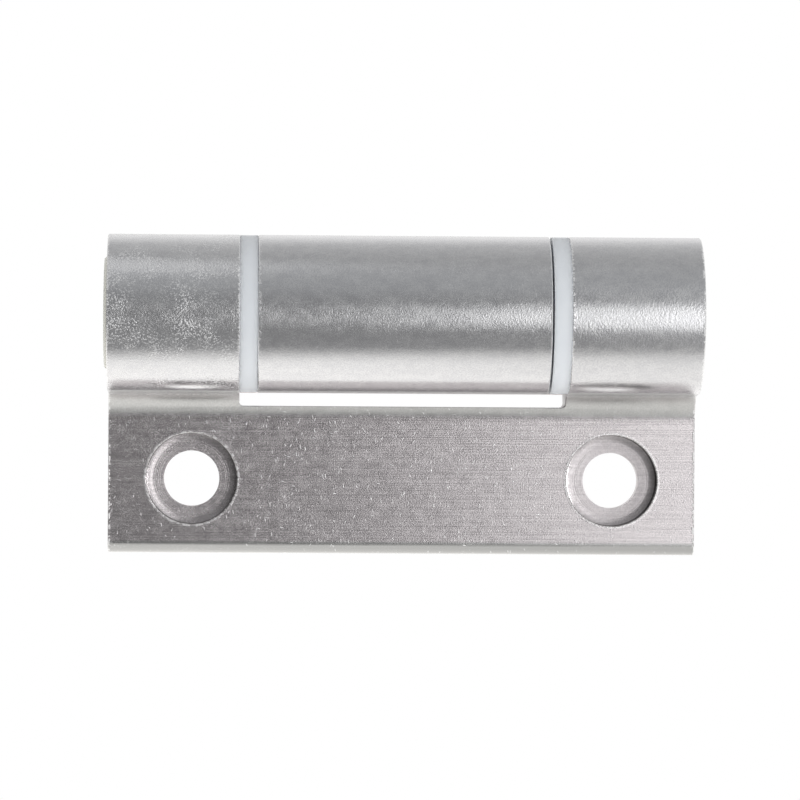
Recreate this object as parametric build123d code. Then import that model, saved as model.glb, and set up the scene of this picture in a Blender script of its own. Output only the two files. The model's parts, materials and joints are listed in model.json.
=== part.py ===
from build123d import *
import os
from math import atan2, cos, sin, sqrt

# Spring hinge: two leaves cut from one extruded bar turn about a steel pin, against a torsion
# spring that is hidden in the middle knuckle. All sizes are in millimetres.

# Extruded bar that both leaves are cut from
hinge_length = 60.0
barrel_diameter = 16.0
bore_diameter = 10.0
keyway_width = 2.2
keyway_depth = 0.6
leaf_thickness = 4.0
leaf_reach = 24.4
root_fillet = 3.0
free_edge_radius = 1.2

# Cuts in the bar
end_knuckle_length = 13.35
notch_gap = 1.33
notch_corner_radius = 0.4
edge_break = 0.1

# Screw holes
screw_hole_diameter = 5.7
counterbore_diameter = 9.3
counterbore_depth = 2.0
hole_end_distance = 8.5
hole_edge_distance = 7.6

# Washers between the knuckles
washer_thickness = 1.8
washer_inset = 0.05

# Pin, plugs and bushes in the bore
pin_diameter = 5.0
pin_flats = 4.0
pin_chamfer = 0.4
bush_length = 4.5
plug_cap_gap = 0.3

# End caps
cap_flange_thickness = 0.5
cap_cover = 0.15
cap_edge_break = 0.25
cap_spigot_length = 3.0
left_cap_proud = 0.35
right_cap_proud = 0.0

# Torsion spring of flat strip
spring_thickness = 0.7
spring_turns = 4
spring_turn_gap = 0.18
spring_end_gap = 0.3
spring_slot_depth = 1.7
spring_slot_gap = 0.1

# Clearances
fit_gap = 0.03
running_gap = 0.05
face_gap = 0.03
axial_play = 0.2

# Places that follow from the sizes above, with the hinge axis along local Z
half_length = hinge_length / 2
barrel_radius = barrel_diameter / 2
bore_radius = bore_diameter / 2
pin_radius = pin_diameter / 2
keyway_reach = bore_radius + keyway_depth
cap_radius = keyway_reach + cap_cover
cap_seat = half_length - cap_flange_thickness
plate_front = barrel_radius - leaf_thickness
notch_edge = barrel_radius + notch_gap
hole_line = leaf_reach - hole_edge_distance
hole_spacing = hinge_length - 2 * hole_end_distance
end_knuckle_face = half_length - end_knuckle_length
middle_start = -end_knuckle_face + washer_thickness + face_gap
middle_end = end_knuckle_face - washer_thickness - axial_play
plug_end = cap_seat - cap_spigot_length - plug_cap_gap

# The origin is midway between the outer leaf's screw holes, on its back face. Local X is the
# rear, local Y is up and local Z runs along the axis to the right.
axis_frame = Plane(origin=(0, -barrel_radius, hole_line), x_dir=(0, 1, 0), z_dir=(1, 0, 0))


def span(section, start, end):
    """Extrude a section along the axis between two stations."""
    return Pos(0, 0, start) * extrude(section, end - start)


def rims(body, radius):
    """Round edges of a body that have the given radius."""
    rounds = body.edges().filter_by(GeomType.CIRCLE)
    return rounds.filter_by(lambda edge: abs(edge.radius - radius) < fit_gap)


def keyed_section(gap):
    """Outline of the bore with its two keyways, drawn in by a gap on every side."""
    keys = Circle(keyway_reach - gap) & Rectangle(keyway_width - 2 * gap, 2 * keyway_reach)
    return Circle(bore_radius - gap) + keys


def root_web():
    """Concave fillet that carries the front of the plate into the barrel."""
    centre_x = plate_front - root_fillet
    centre_y = -sqrt((barrel_radius + root_fillet) ** 2 - centre_x ** 2)
    on_plate = (plate_front, centre_y)
    to_barrel = barrel_radius / (barrel_radius + root_fillet)
    on_barrel = (centre_x * to_barrel, centre_y * to_barrel)
    half_turn = atan2(-centre_y, -centre_x) / 2
    middle = (centre_x + root_fillet * cos(half_turn), centre_y + root_fillet * sin(half_turn))
    crease = (plate_front, -sqrt(barrel_radius ** 2 - plate_front ** 2))
    outline = [ThreePointArc(on_plate, middle, on_barrel), Line(on_barrel, crease), Line(crease, on_plate)]
    return make_face(outline)


def bar_section():
    """Section of the bar: keyed barrel at the origin, plate hanging from its rear side."""
    plate = Pos(barrel_radius - leaf_thickness / 2, -leaf_reach / 2) * Rectangle(leaf_thickness, leaf_reach)
    plate = fillet(plate.vertices().group_by(Axis.Y)[0], free_edge_radius)
    return Circle(barrel_radius) + plate + root_web() - keyed_section(0)


def notch(start, end):
    """Cutter that takes the barrel away between two stations, down to the plate's notch edge."""
    side = 2 * barrel_diameter
    block = Box(side, side, end - start)
    block = fillet(block.edges().filter_by(Axis.X).group_by(Axis.Y)[0], notch_corner_radius)
    return Pos(0, side / 2 - notch_edge, (start + end) / 2) * block


def screw_holes():
    """Cutters for the two counterbored screw holes, entering at the front of the plate."""
    through = Cylinder(screw_hole_diameter / 2, 3 * leaf_thickness)
    counterbore = Cylinder(counterbore_diameter / 2, 2 * counterbore_depth)
    tool = Rot(0, 90, 0) * (through + counterbore)
    return [Pos(plate_front, -hole_line, side * hole_spacing / 2) * tool for side in (-1, 1)]


def sawn_edges(body):
    """Edges round the sawn faces, apart from those that run through the plate's thickness."""
    sawn_faces = body.faces().filter_by(Axis.Z)
    edges = ShapeList([edge for face in sawn_faces for edge in face.outer_wire().edges()])
    through_plate = edges.filter_by(Axis.X)
    return ShapeList([edge for edge in edges if edge not in through_plate])


def leaf(notches):
    """One leaf: a length of the bar with notches and screw holes, all sharp edges broken."""
    body = span(bar_section(), -half_length, half_length)
    for start, end in notches:
        body -= notch(start, end)
    for cutter in screw_holes():
        body -= cutter
    mouths = rims(body, counterbore_diameter / 2).group_by(Axis.X)[0]
    body = chamfer(mouths, edge_break)
    return chamfer(sawn_edges(body), edge_break)


def outer_leaf():
    """Leaf with the two end knuckles, whose bore is opened at both ends for the caps."""
    body = leaf([(-end_knuckle_face, end_knuckle_face)])
    for start in (-half_length, cap_seat):
        body -= span(Circle(cap_radius + fit_gap), start, start + cap_flange_thickness)
    return body


def inner_leaf():
    """Leaf with the middle knuckle: the bar turned end for end, then swung to point to the rear."""
    past_end = half_length + end_knuckle_length
    turned = Rot(180, 0, 0) * leaf([(-middle_start, past_end), (-past_end, -middle_end)])
    return Rot(0, 0, -90) * turned


def washer(start):
    """Plastic washer between two knuckles."""
    ring = Circle(barrel_radius - washer_inset) - Circle(pin_radius + running_gap)
    return span(ring, start, start + washer_thickness)


def pin_section(gap):
    """Outline of the pin's flattened end, let out by a gap on every side."""
    return Circle(pin_radius + gap) & Rectangle(pin_flats + 2 * gap, pin_diameter + 2 * gap)


def left_plug():
    """Keyed plug that holds the flats of the pin."""
    return span(keyed_section(fit_gap) - pin_section(fit_gap), -plug_end, -end_knuckle_face)


def right_plug():
    """Keyed plug that carries the round end of the pin."""
    return span(keyed_section(fit_gap) - Circle(pin_radius + fit_gap), end_knuckle_face, plug_end)


def bush(start):
    """Keyed bearing bush of the middle knuckle, running on the pin."""
    section = Rot(0, 0, -90) * (keyed_section(fit_gap) - Circle(pin_radius + running_gap))
    return span(section, start, start + bush_length)


def end_cap(proud):
    """Cap for the right end: a flange in the bore's recess, standing proud of it, and a spigot."""
    flange = span(Circle(cap_radius), cap_seat, half_length)
    flange = chamfer(flange.edges().group_by(Axis.Z)[-1], cap_edge_break)
    spigot = span(Circle(bore_radius - fit_gap), cap_seat - cap_spigot_length, cap_seat)
    return Pos(0, 0, proud) * (flange + spigot)


# The coil runs midway between the pin and the bore, between the two bushes. Each straight end
# goes on from the last turn by the thickness of the strip.
coil_radius = (pin_radius + bore_radius) / 2
spring_room = middle_end - middle_start - 2 * (bush_length + spring_end_gap)
spring_width = (spring_room - spring_turns * spring_turn_gap) / (spring_turns + 1)
coil_start = middle_start + bush_length + spring_end_gap + spring_width / 2
coil_end = coil_start + spring_turns * (spring_width + spring_turn_gap)
slot_floor = pin_radius - spring_slot_depth
keyway_tip = sqrt((keyway_reach - spring_slot_gap) ** 2 - spring_thickness ** 2)


def hinge_pin():
    """Pin with flats at its left end and a slot that takes the inner end of the spring."""
    body = span(Circle(pin_radius), -end_knuckle_face, plug_end)
    body = chamfer(body.edges().group_by(Axis.Z)[-1], pin_chamfer)
    body += span(pin_section(0), -plug_end, -end_knuckle_face)
    slot = Box(pin_diameter, spring_thickness + 2 * spring_slot_gap, spring_width + 2 * spring_slot_gap)
    return body - Pos(slot_floor + pin_radius, -spring_thickness / 2, coil_start) * slot


def strip_end(inner, outer, side, station):
    """Straight end of the strip between two radii, on one side of the coil's end face."""
    place = Pos((inner + outer) / 2, side * spring_thickness / 2, station)
    return place * Box(outer - inner, spring_thickness, spring_width)


def torsion_spring():
    """Coil of flat strip with one end turned in to the pin and the other out to the keyway."""
    height = coil_end - coil_start
    path = Helix(pitch=spring_width + spring_turn_gap, height=height, radius=coil_radius)
    across = Plane(origin=path @ 0, x_dir=(1, 0, 0), z_dir=(0, 1, 0))
    coil = sweep(across * Rectangle(spring_thickness, spring_width), path, is_frenet=True)
    half_thickness = spring_thickness / 2
    inner_end = strip_end(slot_floor + spring_slot_gap, coil_radius + half_thickness, -1, coil_start)
    outer_end = strip_end(coil_radius - half_thickness, keyway_tip, 1, coil_end)
    return Pos(0, 0, coil_start) * coil + inner_end + outer_end


pieces = {
    "outer_leaf": outer_leaf(),
    "inner_leaf": inner_leaf(),
    "left_washer": washer(-end_knuckle_face),
    "right_washer": washer(end_knuckle_face - washer_thickness),
    "left_bush": bush(middle_start),
    "right_bush": bush(middle_end - bush_length),
    "hinge_pin": hinge_pin(),
    "torsion_spring": torsion_spring(),
    "left_plug": left_plug(),
    "right_plug": right_plug(),
    "left_end_cap": Rot(0, 180, 0) * end_cap(left_cap_proud),
    "right_end_cap": end_cap(right_cap_proud),
}

os.makedirs("parts", exist_ok=True)
for name, piece in pieces.items():
    export_step(axis_frame * piece, f"parts/{name}.step")
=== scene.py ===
"""Spring hinge: materials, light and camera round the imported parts. Lengths are in metres."""
import json
from math import cos, pi, radians, sin

import bpy
from mathutils import Matrix, Vector


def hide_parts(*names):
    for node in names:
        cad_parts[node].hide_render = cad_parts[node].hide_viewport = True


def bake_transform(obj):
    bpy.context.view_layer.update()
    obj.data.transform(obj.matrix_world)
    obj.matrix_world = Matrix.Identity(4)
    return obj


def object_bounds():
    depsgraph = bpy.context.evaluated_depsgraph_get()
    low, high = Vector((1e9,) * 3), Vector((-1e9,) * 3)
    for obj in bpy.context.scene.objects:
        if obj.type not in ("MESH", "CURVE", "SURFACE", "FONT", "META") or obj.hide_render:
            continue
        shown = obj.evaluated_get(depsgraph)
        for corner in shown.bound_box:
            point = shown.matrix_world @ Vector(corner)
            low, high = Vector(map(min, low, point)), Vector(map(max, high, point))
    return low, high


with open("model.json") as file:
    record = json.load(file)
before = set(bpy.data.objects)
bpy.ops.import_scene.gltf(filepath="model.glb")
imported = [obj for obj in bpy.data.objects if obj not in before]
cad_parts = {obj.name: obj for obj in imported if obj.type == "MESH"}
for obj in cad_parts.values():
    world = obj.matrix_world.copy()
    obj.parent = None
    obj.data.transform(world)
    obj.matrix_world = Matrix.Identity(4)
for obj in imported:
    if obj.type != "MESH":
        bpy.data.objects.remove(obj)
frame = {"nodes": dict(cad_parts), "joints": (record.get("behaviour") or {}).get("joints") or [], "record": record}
cad_nodes = frame["nodes"]
cad_low, cad_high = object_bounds()
MM = 0.001

# Places read from the frame
axis_point = Vector(frame["joints"][0]["pos_m"])
screw_pattern = frame["record"]["mounts"][0]
screw_reach = screw_pattern["dims"]["spacing_x_mm"] * MM / 2
half_length = cad_high.x
barrel_radius = axis_point.y - cad_low.y

# Sizes of the solids that the frame doesn't give
leaf_thickness = 4.0 * MM
free_edge_radius = 1.2 * MM
counterbore_radius = 4.65 * MM
end_knuckle_face = 16.65 * MM
middle_knuckle_face = 14.7 * MM

# Places on the upright bar where its finish changes
plate_front = -leaf_thickness
barrel_foot = axis_point.z - barrel_radius
fillet_foot = 5.8 * MM
free_edge = cad_low.z + free_edge_radius
counterbore_corner = 3.8 * MM

# Where each zone of the finish starts and where it is full
leaf_limits = (barrel_foot, barrel_foot - 0.4 * MM)
proud_limits = (plate_front - 0.02 * MM, plate_front - 0.15 * MM)
front_limits = (plate_front + 0.15 * MM, plate_front + 0.05 * MM)
sunk_limits = (plate_front + 0.02 * MM, plate_front + 0.1 * MM)
rear_limits = (-0.6 * MM, -0.2 * MM)
rear_plate_limits = (axis_point.z, fillet_foot)
edge_limits = (free_edge + 0.15 * MM, free_edge - 0.15 * MM)
bore_limits = (counterbore_radius + 0.06 * MM, counterbore_radius)
# Counterbore wall, where a painted shade goes instead of a finish
bore_wall_limits = (counterbore_radius - 0.06 * MM, counterbore_radius - 0.02 * MM)

# Share of the normal along the bar from which a face counts as sawn
sawn_limits = (0.6, 0.9)

# Lengths over which each pattern of the finish repeats, along and across the bar
line_period = (14 * MM, 0.13 * MM, 0.13 * MM)
saw_period = (14 * MM, 9 * MM, 0.11 * MM)
ring_period = 0.14 * MM
mottle_period = (1.4 * MM, 1.0 * MM, 1.0 * MM)
cloud_period = (4 * MM, 2.6 * MM, 2.6 * MM)
fine_period = (0.14 * MM, 0.16 * MM, 0.16 * MM)
pit_period = (0.24 * MM, 0.3 * MM, 0.3 * MM)
streak_period = (0.13 * MM, 0.7 * MM, 0.7 * MM)
speck_period = (0.17 * MM, 0.17 * MM, 0.17 * MM)
nick_period = (0.4 * MM, 0.3 * MM, 0.3 * MM)

# Layers of short scuffs: lean in degrees, size of a cell and share of cells that hold one
stroke_layers = (
    (8, (0.24 * MM, 1.3 * MM, 1.3 * MM), 0.45),
    (-25, (0.28 * MM, 1.0 * MM, 1.0 * MM), 0.35),
    (35, (0.3 * MM, 0.9 * MM, 0.9 * MM), 0.25),
    (80, (0.26 * MM, 1.2 * MM, 1.2 * MM), 0.2),
)

# Distance from a scuff's middle, in cells, at which it starts and is full
stroke_limits = (0.22, 0.088)

# Levels of noise at which each kind of wear starts and is full
speck_limits = (0.48, 0.68)
nick_limits = (0.45, 0.62)
cloud_limits = (0.38, 0.62)

# Amounts of wear, as shares of the most there is
outer_wear = 1.0
inner_wear = 0.45
right_wear = 0.35
least_cloud = 0.45
most_specks = 0.9
leaf_specks = 0.25
barrel_strokes = 0.45
end_strokes = 0.5
rear_strokes = 0.2
least_rim_nicks = 0.3
mark_dullness = 0.6

# Stretches along the bar over which wear and roughness change
worn_span = (20 * MM, -20 * MM)
stroke_span = (10 * MM, 26 * MM)
rough_span = (10 * MM, 22 * MM)

# Distance from an edge at which nicks start and are full, and where those of a counterbore lie
nick_reach = (0.3 * MM, 0.1 * MM)
rim_line = counterbore_radius + 0.05 * MM

# Tones of the aluminium, dark and light where a pattern shades them
mean_noise = 0.5
shade_limits = (0.7, 1.3)
barrel_tones = ((0.77, 0.77, 0.79), (0.89, 0.89, 0.90))
fillet_tones = ((0.62, 0.62, 0.61), (0.72, 0.72, 0.71))
plate_tones = ((0.60, 0.565, 0.575), (0.74, 0.70, 0.71))
sawn_tones = ((0.58, 0.575, 0.575), (0.82, 0.815, 0.81))
edge_tone = (0.54, 0.54, 0.535)
# Painted shade: a near-black tone on the counterbore walls that stands in for the shadow in these recesses
bore_wall_painted_shade = (0.14, 0.135, 0.13)
mark_tone = (0.88, 0.88, 0.88)

# Roughness of the aluminium, and what its right end and some zones add to it
mottle_limits = (0.25, 0.75)
roughness_range = (0.16, 0.22)
right_roughness = 0.05
zone_roughness = {"bored": 0.07, "sawn": 0.14, "fillet": 0.14}

# Heights of the patterns in millimetres, and of a counterbore floor's two curves per square millimetre
fine_height = 0.005
mottle_height = 0.002
pit_height = 0.012
streak_height = 0.001
mark_height = 0.008
line_height = 0.016
ring_height = 0.01
saw_height = 0.008
dish_height = 0.0033
corner_height = 0.18

# Grain of the plastics and inner metals
grain_limits = (0.3, 0.7)
grain_depth = 0.01 * MM
plastic_cloud_period = (2.5 * MM, 2.5 * MM, 2.5 * MM)
plastic_grain_period = (0.1 * MM, 0.1 * MM, 0.1 * MM)
plastic_roughness_spread = 0.05
plastic_bump = 0.08
plastic_glow_depth = 2.5 * MM
metal_roughness_spread = 0.08
metal_bump = 0.2

# Photograph's camera, with image and focal length in pixels and the sensor in millimetres
image_size = 800
focal_pixels = 5006
sensor_width = 36
camera_distance = 0.508
camera_azimuth = radians(-1.85)
camera_roll = radians(0.37)
camera_target = Vector((-0.36 * MM, axis_point.y, 8.15 * MM))
nearest_seen = 0.01
farthest_seen = 100

# Floor
floor_level = -0.05
floor_radius = 0.2
floor_sides = 96
floor_fade = (0.35 * floor_radius, 0.95 * floor_radius)
floor_albedo = 0.9
floor_roughness = 0.9
floor_white = 0.4

# Studio brightness round the hinge axis: angle up from the camera, level, warmth
studio_levels = (
    (-180, 0.90, 0.01),
    (-150, 0.66, 0.015),
    (-105, 0.36, 0.015),
    (-90, 0.33, 0.01),
    (-78, 0.28, 0.0),
    (-68, 0.24, 0.0),
    (-60, 0.25, 0.0),
    (-46, 0.26, 0.0),
    (-25, 0.22, 0.0),
    (0, 0.19, 0.0),
    (22, 0.25, -0.01),
    (38, 0.33, -0.015),
    (55, 0.36, -0.015),
    (85, 0.35, -0.005),
    (118, 0.48, 0.0),
    (150, 0.85, 0.005),
    (180, 0.90, 0.01),
)

# Dark part of the studio, in front on the left: where in a direction it starts and is full
dark_left_limits = (-0.15, -0.7)
dark_front_limits = (0.15, -0.15)
dark_tone = (0.03, 0.03, 0.03)

# Pale card just below the hinge, which lights it from there and is dimmer in front and on the right
card_level = -0.024
card_front = -0.056
card_back = 0.08
card_width = 0.3
card_fade = (-0.05, -0.022)
card_skew = 0.12
card_dim_span = (-30 * MM, 39 * MM)
card_right_share = 0.8
card_radiance = 0.7
card_colour = (1.0, 0.985, 0.955)


# Shader nodes


def feed(tree, socket, value):
    """Link an input to a socket, or set it to a plain value."""
    if isinstance(value, bpy.types.NodeSocket):
        tree.links.new(value, socket)
    else:
        socket.default_value = value


def set_inputs(tree, node, inputs):
    """Link or set each named input of a node."""
    for name, value in inputs.items():
        feed(tree, node.inputs[name], value)


def add(tree, kind, inputs=None, **settings):
    """New shader node with its settings, and each input linked or set."""
    made = tree.nodes.new(kind)
    for name, value in settings.items():
        setattr(made, name, value)
    set_inputs(tree, made, inputs or {})
    return made


def calc(tree, operation, *values):
    """Output of a math node."""
    return add(tree, "ShaderNodeMath", dict(enumerate(values)), operation=operation).outputs[0]


def product(tree, first, *others):
    """Values multiplied with each other."""
    for other in others:
        first = calc(tree, "MULTIPLY", first, other)
    return first


def inverse(tree, value):
    """One less a value."""
    return calc(tree, "SUBTRACT", 1.0, value)


def remap(tree, value, low, high, to_low=0.0, to_high=1.0):
    """Value carried from one range to another, clamped and eased at both ends."""
    inputs = {"Value": value, "From Min": low, "From Max": high, "To Min": to_low, "To Max": to_high}
    return add(tree, "ShaderNodeMapRange", inputs, interpolation_type="SMOOTHSTEP").outputs["Result"]


def in_periods(tree, place, period):
    """Place measured in periods along each axis."""
    scale = Vector([1 / length for length in period])
    return add(tree, "ShaderNodeVectorMath", {0: place, 1: scale}, operation="MULTIPLY").outputs[0]


def grain(tree, place, period, detail=2.0, roughness=0.5):
    """Noise with its own period along each axis."""
    scaled = in_periods(tree, place, period)
    inputs = {"Vector": scaled, "Scale": 1.0, "Detail": detail, "Roughness": roughness}
    return add(tree, "ShaderNodeTexNoise", inputs).outputs["Fac"]


def blend_colours(tree, factor, first, second):
    """Colour between two colours, each three levels or a socket."""
    inputs = {"Factor": factor, "A": first, "B": second}
    mixed = add(tree, "ShaderNodeMix", data_type="RGBA")
    for socket in mixed.inputs:
        if socket.enabled and socket.name in inputs:
            value = inputs[socket.name]
            feed(tree, socket, (*value, 1.0) if isinstance(value, tuple) else value)
    return next(socket for socket in mixed.outputs if socket.enabled)


def bump(tree, height, distance, strength=1.0):
    """Normal of a surface that a height raises."""
    inputs = {"Height": height, "Strength": strength, "Distance": distance}
    return add(tree, "ShaderNodeBump", inputs).outputs["Normal"]


def new_material(name):
    """Empty node material with its tree and principled shader."""
    material = bpy.data.materials.new(name)
    material.use_nodes = True
    tree = material.node_tree
    return material, tree, tree.nodes["Principled BSDF"]


def dress(material, *names):
    """Give CAD nodes a material."""
    for name in names:
        cad_nodes[name].data.materials.clear()
        cad_nodes[name].data.materials.append(material)


# Aluminium


def bar_place(tree, turn):
    """Coordinates of a leaf in the upright bar that it was cut from."""
    place = add(tree, "ShaderNodeTexCoord").outputs["Object"]
    shift = axis_point - turn @ axis_point
    inputs = {"Vector": place, "Location": shift, "Rotation": turn.to_euler()}
    return add(tree, "ShaderNodeMapping", inputs, vector_type="POINT").outputs["Vector"]


def counterbore_reach(tree, x, z):
    """Distance from the middle of the nearer screw hole, seen along the screw."""
    along = calc(tree, "SUBTRACT", calc(tree, "ABSOLUTE", x), screw_reach)
    return calc(tree, "SQRT", calc(tree, "MULTIPLY_ADD", along, along, product(tree, z, z)))


def bowl(tree, reach, start):
    """Height that grows as a square beyond a start and is zero at the counterbore wall."""
    beyond = calc(tree, "MULTIPLY_ADD", reach, 1 / MM, -start / MM)
    beyond = calc(tree, "MAXIMUM", beyond, 0.0)
    at_wall = (counterbore_radius - start) / MM
    return calc(tree, "MULTIPLY_ADD", beyond, beyond, -at_wall * at_wall)


def strokes(tree, place, lean, period, share):
    """Short separate marks in a share of all cells, leaning across the plate by an angle."""
    turn_inputs = {"Vector": place, "Angle": radians(lean)}
    leaning = add(tree, "ShaderNodeVectorRotate", turn_inputs, rotation_type="Y_AXIS").outputs[0]
    cell_inputs = {"Vector": in_periods(tree, leaning, period), "Scale": 1.0}
    cells = add(tree, "ShaderNodeTexVoronoi", cell_inputs).outputs
    chance = add(tree, "ShaderNodeSeparateColor", {0: cells["Color"]}).outputs["Red"]
    strength = remap(tree, chance, 1 - share, 1.0)
    return product(tree, remap(tree, cells["Distance"], *stroke_limits), strength)


def bar_zones(tree, place):
    """Masks of the bar's zones, with the place along the bar and the reach from a screw hole.

    The leaf is all below the barrel, the fillet its curved root, the plate its flat faces and the edge its
    rounded free end. Bored are the counterbores, and sawn are the faces that look along the bar.
    """
    x, y, z = add(tree, "ShaderNodeSeparateXYZ", {0: place}).outputs
    normal = add(tree, "ShaderNodeTexCoord").outputs["Normal"]
    facing = calc(tree, "ABSOLUTE", add(tree, "ShaderNodeSeparateXYZ", {0: normal}).outputs["X"])
    reach = counterbore_reach(tree, x, z)
    inside = remap(tree, reach, *bore_limits)
    leaf = remap(tree, z, *leaf_limits)
    proud = remap(tree, y, *proud_limits)
    rear = remap(tree, y, *rear_limits)
    not_rear = inverse(tree, rear)
    flat = product(tree, leaf, inverse(tree, proud), not_rear)
    bored = product(tree, inside, remap(tree, y, *sunk_limits), not_rear)
    sawn = product(tree, remap(tree, facing, *sawn_limits), inverse(tree, inside))
    return {
        "x": x,
        "reach": reach,
        "barrel": product(tree, inverse(tree, leaf), inverse(tree, sawn), not_rear),
        "leaf": leaf,
        "fillet": product(tree, leaf, proud),
        "plate": calc(tree, "MULTIPLY_ADD", rear, remap(tree, z, *rear_plate_limits), flat),
        "edge": remap(tree, z, *edge_limits),
        "rear": rear,
        "front": remap(tree, y, *front_limits),
        "bored": bored,
        # Counterbore walls, which carry the painted shade
        "bore_wall": product(tree, bored, remap(tree, reach, *bore_wall_limits)),
        "sawn": sawn,
    }


def wear_marks(tree, place, zones, wear, patch):
    """Pale specks, most on the barrel, and strokes, most on the plate's front."""
    specks = remap(tree, grain(tree, place, speck_period), *speck_limits, 0.0, most_specks)
    marks = product(tree, specks, patch, patch, remap(tree, zones["leaf"], 0.0, 1.0, 1.0, leaf_specks))
    from_middle = calc(tree, "ABSOLUTE", zones["x"])
    exposed = product(
        tree,
        calc(tree, "MULTIPLY_ADD", zones["leaf"], 1.0 - barrel_strokes, barrel_strokes),
        remap(tree, from_middle, *stroke_span, 1.0, end_strokes),
        remap(tree, zones["rear"], 0.0, 1.0, wear, rear_strokes * wear),
    )
    for lean, period, share in stroke_layers:
        layer = strokes(tree, place, lean, period, share)
        marks = calc(tree, "MAXIMUM", marks, product(tree, layer, exposed))
    return product(tree, marks, inverse(tree, zones["bored"]), inverse(tree, zones["sawn"]))


def edge_nicks(tree, place, zones, knuckle_end):
    """Bright nicks along the ends of the bar and its knuckles and round the counterbores."""
    from_middle = calc(tree, "ABSOLUTE", zones["x"])
    ragged = remap(tree, grain(tree, place, nick_period), *nick_limits)
    nicks = 0.0
    for across, edge, zone, least in (
        (from_middle, knuckle_end, inverse(tree, zones["leaf"]), 0.0),
        (from_middle, half_length, 1.0, 0.0),
        (zones["reach"], rim_line, zones["front"], least_rim_nicks),
    ):
        gap = calc(tree, "ABSOLUTE", calc(tree, "SUBTRACT", across, edge))
        strength = remap(tree, ragged, 0.0, 1.0, least, 1.0 - least)
        along_edge = product(tree, remap(tree, gap, *nick_reach), zone, strength)
        nicks = calc(tree, "MAXIMUM", nicks, along_edge)
    return product(tree, nicks, inverse(tree, zones["sawn"]))


def aluminium(name, turn, wear, knuckle_end):
    """Extruded aluminium: linished plate, pitted barrel, machined counterbores, sawn ends, wear, and painted shade
    on the counterbore walls.
    """
    material, tree, shader = new_material(name)
    place = bar_place(tree, turn)
    zones = bar_zones(tree, place)
    x, reach = zones["x"], zones["reach"]
    barrel, plate = zones["barrel"], zones["plate"]
    bored, sawn = zones["bored"], zones["sawn"]
    not_sawn = inverse(tree, sawn)

    lines = grain(tree, place, line_period, detail=3.0)
    saw = grain(tree, place, saw_period, detail=3.0)
    mottle = grain(tree, place, mottle_period, detail=5.0, roughness=0.65)
    fine = grain(tree, place, fine_period, detail=1.0)
    pits = grain(tree, place, pit_period)
    streaks = grain(tree, place, streak_period)
    ring_inputs = {"W": reach, "Scale": 1 / ring_period, "Detail": 2.0}
    rings = add(tree, "ShaderNodeTexNoise", ring_inputs, noise_dimensions="1D").outputs["Fac"]

    worn = remap(tree, x, *worn_span, right_wear * wear, wear)
    cloud = remap(tree, grain(tree, place, cloud_period, detail=3.0), *cloud_limits, least_cloud, 1.0)
    marks = wear_marks(tree, place, zones, wear, product(tree, worn, cloud))
    nicks = product(tree, edge_nicks(tree, place, zones, knuckle_end), wear)
    marks = calc(tree, "MAXIMUM", marks, nicks)

    brushed = calc(tree, "MULTIPLY_ADD", calc(tree, "SUBTRACT", lines, mean_noise), plate, fine)
    shade = remap(tree, calc(tree, "ADD", mottle, brushed), *shade_limits)
    tone = blend_colours(tree, shade, *barrel_tones)
    for zone, zone_tone in (
        (zones["fillet"], blend_colours(tree, shade, *fillet_tones)),
        (plate, blend_colours(tree, shade, *plate_tones)),
        (zones["edge"], edge_tone),
        (sawn, blend_colours(tree, saw, *sawn_tones)),
        # painted shade on the counterbore walls
        (zones["bore_wall"], bore_wall_painted_shade),
        (marks, mark_tone),
    ):
        tone = blend_colours(tree, zone, tone, zone_tone)

    rough = remap(tree, mottle, *mottle_limits, *roughness_range)
    rough = calc(tree, "ADD", rough, remap(tree, x, *rough_span, 0.0, right_roughness))
    for zone, rougher in zone_roughness.items():
        rough = calc(tree, "MULTIPLY_ADD", zones[zone], rougher, rough)

    height = product(tree, fine, fine_height)
    for pattern, zone, amount in (
        (mottle, barrel, mottle_height),
        (pits, product(tree, barrel, cloud), pit_height * wear),
        (streaks, barrel, streak_height),
        (marks, not_sawn, mark_height),
        (lines, product(tree, plate, not_sawn), line_height),
        (rings, bored, ring_height),
        (bowl(tree, reach, 0.0), bored, dish_height),
        (bowl(tree, reach, counterbore_corner), bored, corner_height),
        (saw, sawn, saw_height),
    ):
        height = calc(tree, "MULTIPLY_ADD", pattern, product(tree, zone, amount), height)

    inputs = {
        "Base Color": tone,
        "Metallic": inverse(tree, product(tree, marks, mark_dullness)),
        "Roughness": rough,
        "Normal": bump(tree, height, MM),
    }
    set_inputs(tree, shader, inputs)
    return material


# Turns that bring each leaf back into the upright bar
outer_turn = Matrix.Identity(3)
inner_turn = Matrix(((-1, 0, 0), (0, 0, -1), (0, -1, 0)))
dress(aluminium("outer_aluminium", outer_turn, outer_wear, end_knuckle_face), "outer_leaf")
dress(aluminium("inner_aluminium", inner_turn, inner_wear, middle_knuckle_face), "inner_leaf")


# Plastics and inner metals


def plastic(name, dark, light, roughness, glow):
    """Moulded plastic with faint cloudy colour, fine grain and light carried under the surface."""
    material, tree, shader = new_material(name)
    place = add(tree, "ShaderNodeTexCoord").outputs["Object"]
    cloud = grain(tree, place, plastic_cloud_period, detail=3.0)
    fine = grain(tree, place, plastic_grain_period)
    smoothest = roughness - plastic_roughness_spread
    roughest = roughness + plastic_roughness_spread
    inputs = {
        "Base Color": blend_colours(tree, cloud, dark, light),
        "Roughness": remap(tree, fine, *grain_limits, smoothest, roughest),
        "Normal": bump(tree, fine, grain_depth, plastic_bump),
        "Subsurface Weight": glow,
        "Subsurface Radius": (1.0, 1.0, 1.0),
        "Subsurface Scale": plastic_glow_depth,
    }
    set_inputs(tree, shader, inputs)
    return material


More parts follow.
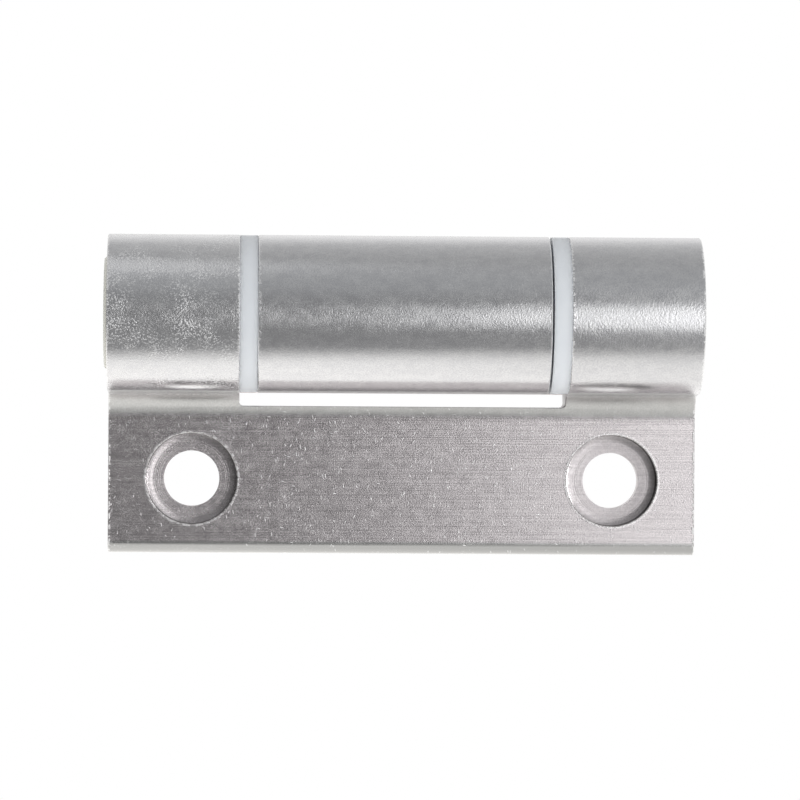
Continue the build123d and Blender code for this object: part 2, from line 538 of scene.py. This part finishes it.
def metal(name, dark, light, roughness, period):
    """Plain metal with lines or grain of its own period."""
    material, tree, shader = new_material(name)
    place = add(tree, "ShaderNodeTexCoord").outputs["Object"]
    lines = grain(tree, place, period, detail=3.0)
    smoothest = roughness - metal_roughness_spread
    roughest = roughness + metal_roughness_spread
    inputs = {
        "Base Color": blend_colours(tree, lines, dark, light),
        "Roughness": remap(tree, lines, *grain_limits, smoothest, roughest),
        "Normal": bump(tree, lines, grain_depth, metal_bump),
        "Metallic": 1.0,
    }
    set_inputs(tree, shader, inputs)
    return material


nylon = plastic(
    "white_washer_nylon",
    dark=(0.775, 0.82, 0.885),
    light=(0.815, 0.86, 0.915),
    roughness=0.42,
    glow=0.7,
)
cream = plastic(
    "cream_cap_plastic",
    dark=(0.88, 0.87, 0.78),
    light=(0.92, 0.91, 0.83),
    roughness=0.4,
    glow=0.2,
)
ground_steel = metal(
    "ground_pin_steel",
    dark=(0.46, 0.46, 0.47),
    light=(0.6, 0.6, 0.61),
    roughness=0.25,
    period=(0.08 * MM, 4 * MM, 4 * MM),
)
oiled_steel = metal(
    "oiled_spring_steel",
    dark=(0.26, 0.26, 0.28),
    light=(0.4, 0.4, 0.42),
    roughness=0.3,
    period=(0.15 * MM, 2 * MM, 2 * MM),
)
cast_zinc = metal(
    "cast_plug_zinc",
    dark=(0.42, 0.43, 0.45),
    light=(0.56, 0.57, 0.59),
    roughness=0.5,
    period=(0.3 * MM, 0.3 * MM, 0.3 * MM),
)
dress(nylon, "left_washer", "right_washer", "left_bush", "right_bush")
dress(cream, "left_end_cap", "right_end_cap")
dress(ground_steel, "hinge_pin")
dress(oiled_steel, "torsion_spring")
dress(cast_zinc, "left_plug", "right_plug")


# Spring copied in place of the CAD spring


def twisting_spring():
    """Copy of the spring with its place baked into the mesh, shown in place of the hidden CAD spring."""
    spring = bpy.data.objects.new("twisting_spring", cad_nodes["torsion_spring"].data.copy())
    bpy.context.scene.collection.objects.link(spring)
    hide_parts("torsion_spring")
    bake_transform(spring)


twisting_spring()


# Floor, world and lamps


def floor():
    """Round pale floor that keeps the shadow near the object and fades to white at its rim."""
    mesh = bpy.data.meshes.new("floor")
    turns = [radians(360 * side / floor_sides) for side in range(floor_sides)]
    rim = [(floor_radius * cos(turn), floor_radius * sin(turn), floor_level) for turn in turns]
    mesh.from_pydata(rim, [], [range(floor_sides)])
    obj = bpy.data.objects.new("floor", mesh)
    bpy.context.scene.collection.objects.link(obj)
    obj.visible_glossy = False
    material, tree, shader = new_material("pale_floor")
    inputs = {
        "Base Color": (floor_albedo, floor_albedo, floor_albedo, 1.0),
        "Roughness": floor_roughness,
        "Specular IOR Level": 0.0,
    }
    set_inputs(tree, shader, inputs)
    place = add(tree, "ShaderNodeTexCoord").outputs["Object"]
    reach = add(tree, "ShaderNodeVectorMath", {0: place}, operation="LENGTH").outputs["Value"]
    fade = remap(tree, reach, *floor_fade, floor_white, 1.0)
    path = add(tree, "ShaderNodeLightPath").outputs
    mirrored = calc(tree, "MAXIMUM", path["Is Glossy Ray"], path["Is Transmission Ray"])
    white_part = calc(tree, "MAXIMUM", product(tree, path["Is Camera Ray"], fade), mirrored)
    white = add(tree, "ShaderNodeEmission", {"Color": (1, 1, 1, 1), "Strength": 1.0})
    mix = add(tree, "ShaderNodeMixShader", {0: white_part, 1: shader.outputs[0], 2: white.outputs[0]})
    tree.links.new(mix.outputs[0], tree.nodes["Material Output"].inputs["Surface"])
    mesh.materials.append(material)


def studio():
    """World: white to the camera, and to the object a studio dim in front and bright below and behind.

    The ramp goes once round the hinge axis, from behind over below, front and top to behind again.
    """
    world = bpy.data.worlds.new("studio")
    bpy.context.scene.world = world
    world.use_nodes = True
    tree = world.node_tree
    direction = add(tree, "ShaderNodeTexCoord").outputs["Generated"]
    parts = add(tree, "ShaderNodeSeparateXYZ", {0: direction}).outputs
    turn = calc(tree, "ARCTAN2", parts["Z"], product(tree, parts["Y"], -1.0))
    turn = calc(tree, "MULTIPLY_ADD", turn, 1 / radians(360), 0.5)
    ramp = add(tree, "ShaderNodeValToRGB", {"Fac": turn})
    elements = ramp.color_ramp.elements
    while len(elements) < len(studio_levels):
        elements.new(0.5)
    for element, (angle, level, warmth) in zip(elements, studio_levels):
        element.position = (angle + 180) / 360
        element.color = (level * (1 + warmth), level, level * (1 - warmth), 1.0)
    left = remap(tree, parts["X"], *dark_left_limits)
    front = remap(tree, parts["Y"], *dark_front_limits)
    shaded = blend_colours(tree, product(tree, left, front), ramp.outputs["Color"], dark_tone)
    seen = add(tree, "ShaderNodeLightPath").outputs["Is Camera Ray"]
    colour = blend_colours(tree, seen, shaded, (1, 1, 1))
    tree.links.new(colour, tree.nodes["Background"].inputs["Color"])


def area_lamp(name, shape, width, height, radiance):
    """Area lamp of a given brightness that the camera doesn't see."""
    data = bpy.data.lights.new(name, "AREA")
    data.shape = shape
    data.size = width
    data.size_y = height
    area = width * height * (pi / 4 if shape == "ELLIPSE" else 1)
    data.energy = radiance * pi * area
    lamp = bpy.data.objects.new(name, data)
    bpy.context.scene.collection.objects.link(lamp)
    lamp.visible_camera = False
    return lamp


def softbox(name, azimuth, elevation, distance, width, height, radiance):
    """Round-edged lamp that looks at the object from a direction given as for the camera."""
    lamp = area_lamp(name, "ELLIPSE", width, height, radiance)
    a, e = radians(azimuth), radians(elevation)
    back = Vector((sin(a) * cos(e), -cos(a) * cos(e), sin(e)))
    lamp.location = axis_point + back * distance
    lamp.rotation_euler = back.to_track_quat("Z", "Y").to_euler()
    return lamp


def card():
    """Level lamp below the object that shines upwards and fades out towards the camera."""
    lamp = area_lamp("card", "RECTANGLE", card_width, card_back - card_front, card_radiance)
    lamp.location = (0, (card_front + card_back) / 2, card_level)
    lamp.rotation_euler = (pi, 0, 0)
    lamp.data.color = card_colour
    lamp.data.use_nodes = True
    tree = lamp.data.node_tree
    place = add(tree, "ShaderNodeNewGeometry").outputs["Position"]
    parts = add(tree, "ShaderNodeSeparateXYZ", {0: place}).outputs
    across = calc(tree, "MULTIPLY_ADD", parts["X"], card_skew, parts["Y"])
    to_right = remap(tree, parts["X"], *card_dim_span, 1.0, card_right_share)
    level = product(tree, remap(tree, across, *card_fade), to_right)
    tree.links.new(level, tree.nodes["Emission"].inputs["Strength"])


floor()
studio()
card()
softbox("key_box", azimuth=12.5, elevation=-3, distance=1.0, width=0.28, height=0.72, radiance=1.27)
softbox("skirt_box", azimuth=17, elevation=-1, distance=1.0, width=0.26, height=2.0, radiance=0.42)
softbox("side_box", azimuth=52, elevation=0, distance=0.8, width=0.4, height=0.5, radiance=8.0)
softbox("top_box", azimuth=-58, elevation=60, distance=0.65, width=0.6, height=0.56, radiance=0.32)
fill = softbox("fill_box", azimuth=-40, elevation=30, distance=1.0, width=1.2, height=1.2, radiance=0.88)
fill.visible_glossy = False


# Camera


def photo_camera():
    """Camera of the photograph, level with the hinge and a little to its left."""
    data = bpy.data.cameras.new("photo_camera")
    data.sensor_width = sensor_width
    data.lens = focal_pixels / image_size * sensor_width
    data.clip_start = nearest_seen
    data.clip_end = farthest_seen
    camera = bpy.data.objects.new("photo_camera", data)
    bpy.context.scene.collection.objects.link(camera)
    back = Vector((sin(camera_azimuth), -cos(camera_azimuth), 0))
    level = back.to_track_quat("Z", "Y").to_matrix()
    roll = Matrix.Rotation(camera_roll, 3, "Z")
    camera.location = camera_target + back * camera_distance
    camera.rotation_euler = (level @ roll).to_euler()
    bpy.context.scene.camera = camera


photo_camera()
bpy.context.scene.view_settings.view_transform = "Standard"
